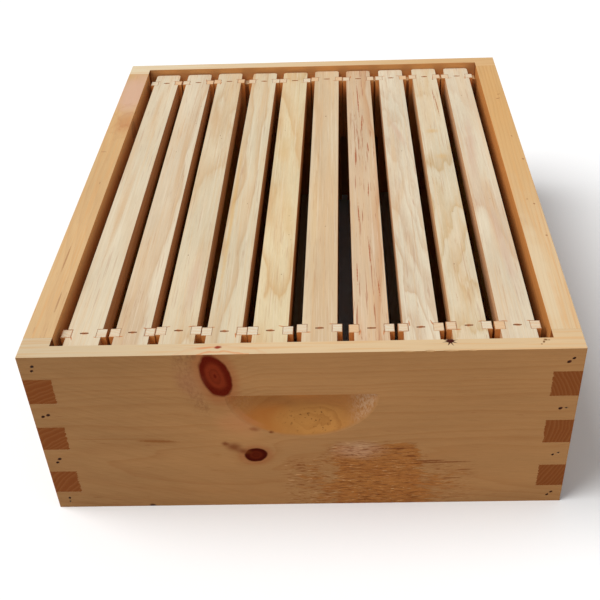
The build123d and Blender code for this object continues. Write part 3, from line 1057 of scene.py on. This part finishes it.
def splinter(middle, direction, out, dice):
    """A flake of wood that has closed over part of a staple's crown."""
    side = direction.cross(out)
    long = 1.0 + 0.8 * dice.random()
    shift = dice.uniform(-0.6, 0.6)
    surface = out * (CROWN_DEPTH + 0.02)
    rows = []
    for across in (-FLAKE_HALF, 0.0, FLAKE_HALF):
        row = []
        for k in range(5):
            place = (k / 2 - 1) * long * (1 - 0.25 * abs(across)) + shift + dice.uniform(-0.2, 0.2)
            lift = 0.05 * (1 - abs(across)) * dice.random()
            row.append((middle + direction * place + side * across + surface + out * lift) * MM)
        rows.append(row)
    return slab(rows, lambda point: point - out * FLAKE_ROOT * MM)


def joint_lines(out):
    """Edges of the end grain beside a face's fingers: start, along, over, out, length and reach."""
    edge, reach = (HIGH.y, HIGH.x) if out.y else (HIGH.x, HIGH.y)
    level = Vector((1, 0, 0)) if out.y else Vector((0, 1, 0))
    first = 1 if out.y else 0
    heights = [0.0] + [FIRST_FINGER + FINGER * k for k in range(6)] + [HIGH.z]
    for low, high in zip(heights[first::2], heights[first + 1::2]):
        for end in (-1, 1):
            inner = out * edge + level * end * (reach - BOARD)
            yield inner + UP * low, UP, level * end, out, high - low, 1.3
            if low > 0:
                yield inner + UP * low, level * end, UP, out, BOARD, 0.5
            if high < HIGH.z:
                yield inner + UP * high, level * end, -UP, out, BOARD, 0.4


def torn_edges():
    """One piece for each board, of all its ragged lines and flakes."""
    dice = random.Random(11)
    for node, out in FACES.items():
        corners, faces = [], []
        parts = [ragged_line(*line, dice) for line in joint_lines(out)]
        parts += [splinter(*crown, dice) for crown in CROWNS if crown[2] == out]
        for more_corners, more_faces in parts:
            first = len(corners)
            corners += more_corners
            faces += [tuple(k + first for k in face) for face in more_faces]
        name = node + "_splinters"
        add_piece(name, mesh_of(name, corners, faces), NODES[node].data.materials[0], BOX_BODY)


torn_edges()


# ---- floor, light and camera ----
bpy.ops.mesh.primitive_plane_add(size=40, location=(0, 0, 0))
floor = bpy.context.object
floor.name = "floor"
floor_material, floor_graph = new_material("floor")
floor_graph.finish({"Base Color": (0.9, 0.9, 0.9, 1), "Roughness": 0.9})
floor.data.materials.append(floor_material)


def soft_light(name, back, left, spread, strength):
    """Even light from overhead, leant back and left by angles in degrees, as from a large softbox."""
    source = Vector((-math.tan(math.radians(left)), math.tan(math.radians(back)), 1))
    lamp = bpy.data.lights.new(name, "SUN")
    lamp.angle = math.radians(spread)
    lamp.energy = strength
    holder = bpy.data.objects.new(name, lamp)
    bpy.context.collection.objects.link(holder)
    holder.rotation_euler = source.to_track_quat("Z", "Y").to_euler()


soft_light("soft key", back=-4, left=36, spread=46, strength=3.1)


def studio_world(fill, backdrop):
    """An even pale room: fill is what it lights with, and backdrop is how bright it looks."""
    world = bpy.data.worlds.new("studio")
    world.use_nodes = True
    g = Graph(world.node_tree)
    seen = g.node("LightPath").outputs["Is Camera Ray"]
    background = world.node_tree.nodes["Background"].inputs
    g.feed(background["Strength"], g.line(seen, backdrop - fill, fill))
    background["Color"].default_value = (1, 1, 1, 1)
    bpy.context.scene.world = world


studio_world(fill=0.4, backdrop=0.97)
bpy.context.scene.view_settings.view_transform = "Standard"


def aimed_camera(place, yaw, pitch, roll, lens, shift):
    """A camera turned by yaw from +Y towards +X, pitched down and rolled, in degrees."""
    aim = Matrix.Translation(place)
    for angle, axis in ((-yaw, "Z"), (90 - pitch, "X"), (roll, "Z")):
        aim = aim @ Matrix.Rotation(math.radians(angle), 4, axis)
    camera = bpy.data.objects.new("camera", bpy.data.cameras.new("camera"))
    bpy.context.collection.objects.link(camera)
    camera.matrix_world = aim
    camera.data.lens = lens
    camera.data.shift_x, camera.data.shift_y = shift
    camera.data.clip_start = 0.01
    bpy.context.scene.camera = camera


aimed_camera((0.0355, -0.7709, 0.6227), -1.66, 37.27, -2.08, lens=56.31, shift=(-0.0417, -0.0250))
